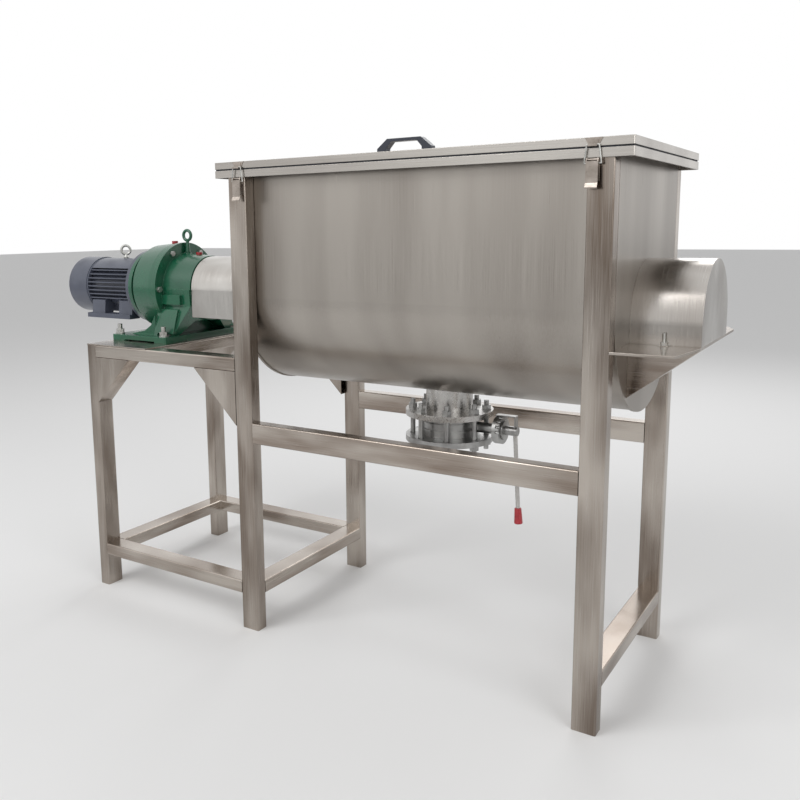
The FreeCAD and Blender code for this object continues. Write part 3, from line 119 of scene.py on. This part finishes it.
def newGroup(name, inputs, outputs):
    group = bpy.data.node_groups.new(name, "ShaderNodeTree")
    for label, kind, value in inputs:
        socket = group.interface.new_socket(name=label, in_out="INPUT",
                                            socket_type="NodeSocket" + kind)
        socket.default_value = value
    for label, kind in outputs:
        group.interface.new_socket(name=label, in_out="OUTPUT",
                                   socket_type="NodeSocket" + kind)
    return group, group.nodes.new("NodeGroupInput"), group.nodes.new("NodeGroupOutput")


def makeGrainGroup():
    # noise read from object coordinates that are first stretched along each axis
    group, given, result = newGroup(
        "grainMask", [("Stretch", "Vector", (1, 1, 1)), ("Scale", "Float", 10.0),
                      ("Detail", "Float", 3.0), ("Low", "Float", 0.3), ("High", "Float", 0.7)],
        [("Mask", "Float")])
    coords = group.nodes.new("ShaderNodeTexCoord")
    stretch = group.nodes.new("ShaderNodeVectorMath")
    stretch.operation = "MULTIPLY"
    noise = group.nodes.new("ShaderNodeTexNoise")
    spread = group.nodes.new("ShaderNodeMapRange")
    link = group.links.new
    link(coords.outputs["Object"], stretch.inputs[0])
    link(given.outputs["Stretch"], stretch.inputs[1])
    link(stretch.outputs[0], noise.inputs["Vector"])
    link(given.outputs["Scale"], noise.inputs["Scale"])
    link(given.outputs["Detail"], noise.inputs["Detail"])
    link(noise.outputs["Fac"], spread.inputs["Value"])
    link(given.outputs["Low"], spread.inputs["From Min"])
    link(given.outputs["High"], spread.inputs["From Max"])
    link(spread.outputs[0], result.inputs["Mask"])
    return group


edgeValues = {"samples": 4, "flat": 0.995, "round": 0.85}      # cosines for mask 0 and 1


def makeEdgeGroup():
    # a rounded normal near edges, and a mask that is 1 where it differs from the flat normal
    group, given, result = newGroup("softEdge", [("Radius", "Float", 0.0015)],
                                    [("Normal", "Vector"), ("Mask", "Float")])
    bevel = group.nodes.new("ShaderNodeBevel")
    bevel.samples = edgeValues["samples"]
    surface = group.nodes.new("ShaderNodeNewGeometry")
    dot = group.nodes.new("ShaderNodeVectorMath")
    dot.operation = "DOT_PRODUCT"
    spread = group.nodes.new("ShaderNodeMapRange")
    spread.inputs["From Min"].default_value = edgeValues["flat"]
    spread.inputs["From Max"].default_value = edgeValues["round"]
    link = group.links.new
    link(given.outputs["Radius"], bevel.inputs["Radius"])
    link(bevel.outputs[0], dot.inputs[0])
    link(surface.outputs["Normal"], dot.inputs[1])
    link(dot.outputs["Value"], spread.inputs["Value"])
    link(bevel.outputs[0], result.inputs["Normal"])
    link(spread.outputs[0], result.inputs["Mask"])
    return group


grainGroup = makeGrainGroup()
edgeGroup = makeEdgeGroup()


class Finish:
    # one material: its tree, its Principled shader and short ways to add nodes
    def __init__(self, name, fixed):
        self.material = bpy.data.materials.new(name)
        self.material.use_nodes = True
        self.tree = self.material.node_tree
        self.shader = self.tree.nodes["Principled BSDF"]
        for socket, value in fixed.items():
            self.shader.inputs[socket].default_value = value

    def grain(self, stretch, scale, detail=3.0, low=0.3, high=0.7):
        node = self.tree.nodes.new("ShaderNodeGroup")
        node.node_tree = grainGroup
        given = {"Stretch": stretch, "Scale": scale, "Detail": detail, "Low": low, "High": high}
        for label, value in given.items():
            node.inputs[label].default_value = value
        return node.outputs["Mask"]

    def edge(self, radius):
        node = self.tree.nodes.new("ShaderNodeGroup")
        node.node_tree = edgeGroup
        node.inputs["Radius"].default_value = radius
        return node.outputs

    def mix(self, mask, first, second, share=1.0):
        # first where the mask is 0, second where it is 1; share limits the mask
        node = self.tree.nodes.new("ShaderNodeMix")
        node.data_type = "RGBA"
        if share != 1.0:
            scaled = self.tree.nodes.new("ShaderNodeMath")
            scaled.operation = "MULTIPLY"
            self.tree.links.new(mask, scaled.inputs[0])
            scaled.inputs[1].default_value = share
            mask = scaled.outputs[0]
        self.tree.links.new(mask, node.inputs["Factor"])
        for socket, value in ((node.inputs["A"], first), (node.inputs["B"], second)):
            if isinstance(value, tuple):
                socket.default_value = (*value, 1)
            else:
                self.tree.links.new(value, socket)
        return node.outputs["Result"]

    def level(self, mask, low, high):
        node = self.tree.nodes.new("ShaderNodeMapRange")
        self.tree.links.new(mask, node.inputs["Value"])
        node.inputs["To Min"].default_value = low
        node.inputs["To Max"].default_value = high
        return node.outputs[0]

    def bump(self, height, depth, normal=None):
        node = self.tree.nodes.new("ShaderNodeBump")
        node.inputs["Distance"].default_value = depth
        node.inputs["Strength"].default_value = 1.0           # the depth alone sets the relief
        self.tree.links.new(height, node.inputs["Height"])
        if normal is not None:
            self.tree.links.new(normal, node.inputs["Normal"])
        return node.outputs["Normal"]

    def feed(self, socket, value):
        self.tree.links.new(value, self.shader.inputs[socket])


steelGrain = {"reflectionAndTone": {"detail": 2.0, "low": 0.35, "high": 0.65},
              "lines": {"detail": 4.0, "low": 0.25, "high": 0.75}}


def steelFinish(name, values):
    # metal: a cloudy mix between two tones, which is painted reflection of the surroundings on
    # the polished parts and random tone on the small parts, fine lines along the brushing,
    # rounded edges
    finish = Finish(name, {"Metallic": 1.0})
    reflectionAndTone = finish.grain(values["reflectionAndToneStretch"], values["reflectionAndToneScale"], **steelGrain["reflectionAndTone"])
    lines = finish.grain(values["lineStretch"], values["lineScale"], **steelGrain["lines"])
    # painted reflection mixed with random tone: the dark and the light tone in cloudy patches
    colour = finish.mix(reflectionAndTone, values["dark"], values["light"])
    colour = finish.mix(lines, colour, values["lineColour"], values["lineShare"])
    finish.feed("Base Color", colour)
    finish.feed("Roughness", finish.level(lines, *values["roughness"]))
    edge = finish.edge(values["edge"])
    finish.feed("Normal", finish.bump(lines, values["bump"], edge["Normal"]))
    return finish.material


coatRoughness = 0.12


def paintFinish(name, values):
    # paint and plastic: slow colour drift, lighter edges that are partly wear and partly a
    # painted edge highlight, an orange-peel bump
    finish = Finish(name, {"Coat Weight": values["coat"], "Coat Roughness": coatRoughness})
    drift = finish.grain((1, 1, 1), values["driftScale"], detail=3.0)
    peel = finish.grain((1, 1, 1), values["peelScale"], detail=2.0)
    colour = finish.mix(drift, values["colour"], values["shade"])
    edge = finish.edge(values["edge"])
    # lighter colour on the edges: wear together with a painted edge highlight
    colour = finish.mix(edge["Mask"], colour, values["edgeWearAndHighlight"], values["edgeWearAndHighlightShare"])
    finish.feed("Base Color", colour)
    finish.feed("Roughness", finish.level(drift, *values["roughness"]))
    finish.feed("Normal", finish.bump(peel, values["bump"], edge["Normal"]))
    return finish.material


steelFinishes = {
    # painted reflection: on the uprights the dark and light tones, tinted tan, are streaked
    # upwards as mirrored surroundings
    "polishedUpright": {
        "light": (0.48, 0.43, 0.38), "dark": (0.17, 0.13, 0.1), "reflectionAndToneStretch": (5, 5, 1.3),
        "reflectionAndToneScale": 2.2, "lineStretch": (60, 60, 1), "lineScale": 9.0,
        "lineColour": (0.66, 0.63, 0.6), "lineShare": 0.25, "roughness": (0.16, 0.3),
        "bump": 0.00003, "edge": 0.0022},
    # painted reflection: on the rails the dark and light tones, tinted tan, are streaked along
    # the rails as mirrored surroundings
    "polishedRail": {
        "light": (0.5, 0.45, 0.4), "dark": (0.22, 0.17, 0.135),
        "reflectionAndToneStretch": (1.3, 1.3, 6), "reflectionAndToneScale": 2.4, "lineStretch": (1, 1, 60),
        "lineScale": 9.0, "lineColour": (0.68, 0.65, 0.61), "lineShare": 0.25,
        "roughness": (0.16, 0.3), "bump": 0.00003, "edge": 0.0022},
    "troughSkin": {
        "light": (0.4, 0.37, 0.335), "dark": (0.25, 0.225, 0.2),
        "reflectionAndToneStretch": (2.6, 2.6, 0.25), "reflectionAndToneScale": 2.0, "lineStretch": (90, 90, 1),
        "lineScale": 5.0, "lineColour": (0.43, 0.4, 0.37), "lineShare": 0.35,
        "roughness": (0.26, 0.4), "bump": 0.00004, "edge": 0.001},
    "lidSkin": {
        "light": (0.5, 0.475, 0.44), "dark": (0.33, 0.305, 0.28),
        "reflectionAndToneStretch": (0.5, 3, 3), "reflectionAndToneScale": 2.0, "lineStretch": (1, 80, 80),
        "lineScale": 6.0, "lineColour": (0.6, 0.57, 0.54), "lineShare": 0.3,
        "roughness": (0.2, 0.34), "bump": 0.00003, "edge": 0.0015},
    "guardSkin": {
        "light": (0.6, 0.58, 0.55), "dark": (0.36, 0.33, 0.3), "reflectionAndToneStretch": (1, 2.5, 1),
        "reflectionAndToneScale": 4.0, "lineStretch": (60, 2, 2), "lineScale": 8.0,
        "lineColour": (0.66, 0.64, 0.62), "lineShare": 0.2, "roughness": (0.14, 0.28),
        "bump": 0.00002, "edge": 0.0015},
    "turnedSteel": {
        "light": (0.55, 0.54, 0.52), "dark": (0.4, 0.385, 0.37), "reflectionAndToneStretch": (1, 1, 1),
        "reflectionAndToneScale": 18.0, "lineStretch": (1, 1, 1), "lineScale": 160.0,
        "lineColour": (0.62, 0.61, 0.6), "lineShare": 0.2, "roughness": (0.22, 0.36),
        "bump": 0.00004, "edge": 0.0008},
    "valveSteel": {
        "light": (0.42, 0.42, 0.41), "dark": (0.27, 0.265, 0.26), "reflectionAndToneStretch": (1, 1, 1),
        "reflectionAndToneScale": 24.0, "lineStretch": (1, 1, 1), "lineScale": 190.0,
        "lineColour": (0.5, 0.5, 0.5), "lineShare": 0.25, "roughness": (0.28, 0.46),
        "bump": 0.00008, "edge": 0.001},
    "latchSteel": {
        "light": (0.42, 0.37, 0.33), "dark": (0.26, 0.225, 0.195),
        "reflectionAndToneStretch": (1, 1, 1), "reflectionAndToneScale": 30.0, "lineStretch": (1, 1, 1),
        "lineScale": 200.0, "lineColour": (0.46, 0.42, 0.38), "lineShare": 0.25,
        "roughness": (0.25, 0.4), "bump": 0.00003, "edge": 0.0006},
    "boltZinc": {
        "light": (0.52, 0.52, 0.5), "dark": (0.33, 0.33, 0.31), "reflectionAndToneStretch": (1, 1, 1),
        "reflectionAndToneScale": 60.0, "lineStretch": (1, 1, 1), "lineScale": 260.0,
        "lineColour": (0.6, 0.6, 0.58), "lineShare": 0.25, "roughness": (0.3, 0.5),
        "bump": 0.00004, "edge": 0.0006},
}
paintFinishes = {
    "greenPaint": {
        "colour": (0.01, 0.12, 0.058), "shade": (0.006, 0.08, 0.04),
        "edgeWearAndHighlight": (0.05, 0.24, 0.13), "edgeWearAndHighlightShare": 0.45, "driftScale": 9.0,
        "peelScale": 170.0, "roughness": (0.2, 0.38), "bump": 0.00012, "coat": 0.45,
        "edge": 0.003},
    "motorPaint": {
        "colour": (0.092, 0.103, 0.14), "shade": (0.062, 0.07, 0.098),
        "edgeWearAndHighlight": (0.2, 0.21, 0.25), "edgeWearAndHighlightShare": 0.4, "driftScale": 12.0, "peelScale": 240.0,
        "roughness": (0.3, 0.48), "bump": 0.00008, "coat": 0.2, "edge": 0.0015},
    "bearingPaint": {
        "colour": (0.03, 0.06, 0.07), "shade": (0.02, 0.045, 0.05),
        "edgeWearAndHighlight": (0.1, 0.14, 0.15), "edgeWearAndHighlightShare": 0.4, "driftScale": 14.0, "peelScale": 200.0,
        "roughness": (0.35, 0.5), "bump": 0.0001, "coat": 0.1, "edge": 0.002},
    "handlePlastic": {
        "colour": (0.022, 0.027, 0.044), "shade": (0.016, 0.02, 0.033),
        "edgeWearAndHighlight": (0.07, 0.08, 0.11), "edgeWearAndHighlightShare": 0.3, "driftScale": 30.0,
        "peelScale": 600.0, "roughness": (0.34, 0.46), "bump": 0.00004, "coat": 0.1,
        "edge": 0.0015},
    "redPlastic": {
        "colour": (0.5, 0.02, 0.032), "shade": (0.36, 0.012, 0.02),
        "edgeWearAndHighlight": (0.7, 0.12, 0.13), "edgeWearAndHighlightShare": 0.3, "driftScale": 60.0, "peelScale": 400.0,
        "roughness": (0.22, 0.34), "bump": 0.00003, "coat": 0.4, "edge": 0.001},
    "gasketRubber": {
        "colour": (0.012, 0.014, 0.024), "shade": (0.008, 0.009, 0.014),
        "edgeWearAndHighlight": (0.03, 0.03, 0.04), "edgeWearAndHighlightShare": 0.3, "driftScale": 40.0,
        "peelScale": 500.0, "roughness": (0.55, 0.7), "bump": 0.00005, "coat": 0.0,
        "edge": 0.0008},
    "seatRubber": {
        "colour": (0.6, 0.6, 0.63), "shade": (0.45, 0.45, 0.5), "edgeWearAndHighlight": (0.7, 0.7, 0.72),
        "edgeWearAndHighlightShare": 0.2, "driftScale": 40.0, "peelScale": 400.0, "roughness": (0.45, 0.6),
        "bump": 0.00004, "coat": 0.0, "edge": 0.001},
}
# stretch and scale set the grain along x, y and z; bump depths and edge radii are in metres
materials = {name: steelFinish(name, values) for name, values in steelFinishes.items()}
materials.update({name: paintFinish(name, values) for name, values in paintFinishes.items()})

nodeFinishes = {
    "polishedUpright": "frame_legs corner_gussets",
    "polishedRail": (
        "upper_rails lower_rails platform_rails platform_plate "
        "bearing_shelf shelf_bracket"),
    "troughSkin": "trough_shell end_plates",
    "lidSkin": "lid_panel rim_flange",
    "guardSkin": "bearing_guard coupling_guard",
    "turnedSteel": (
        "agitator_shaft ribbon_spokes outer_ribbons inner_ribbons "
        "reducer_output_shaft motor_rotor bearing_inserts "
        "coupling_driven_half coupling_driving_half coupling_pins "
        "shaft_glands butterfly_disc valve_stem lever_rod discharge_neck"),
    "valveSteel": "valve_body outlet_flange index_plate lever_hub flange_studs",
    "latchSteel": (
        "hinge_frame_leaves hinge_lid_leaves latch_bases latch_catches "
        "latch_lever_left latch_lever_right"),
    "boltZinc": (
        "latch_bail_left latch_bail_right bearing_fasteners reducer_bolts "
        "motor_eyebolt"),
    "greenPaint": "reducer_housing ring_gear_body motor_adapter reducer_eyebolt",
    "motorPaint": "motor_frame fan_cover terminal_box",
    "bearingPaint": "pillow_block flange_bearing",
    "handlePlastic": "lid_handle cooling_fan",
    "redPlastic": "oil_plugs lever_grip",
    "gasketRubber": "lid_gasket",
    "seatRubber": "valve_seat",
}
for finishName, names in nodeFinishes.items():
    for node in names.split():
        for slot in nodes[node].material_slots:
            slot.material = materials[finishName]
dressed = sum(len(names.split()) for names in nodeFinishes.values())
print("materials on", dressed, "nodes")
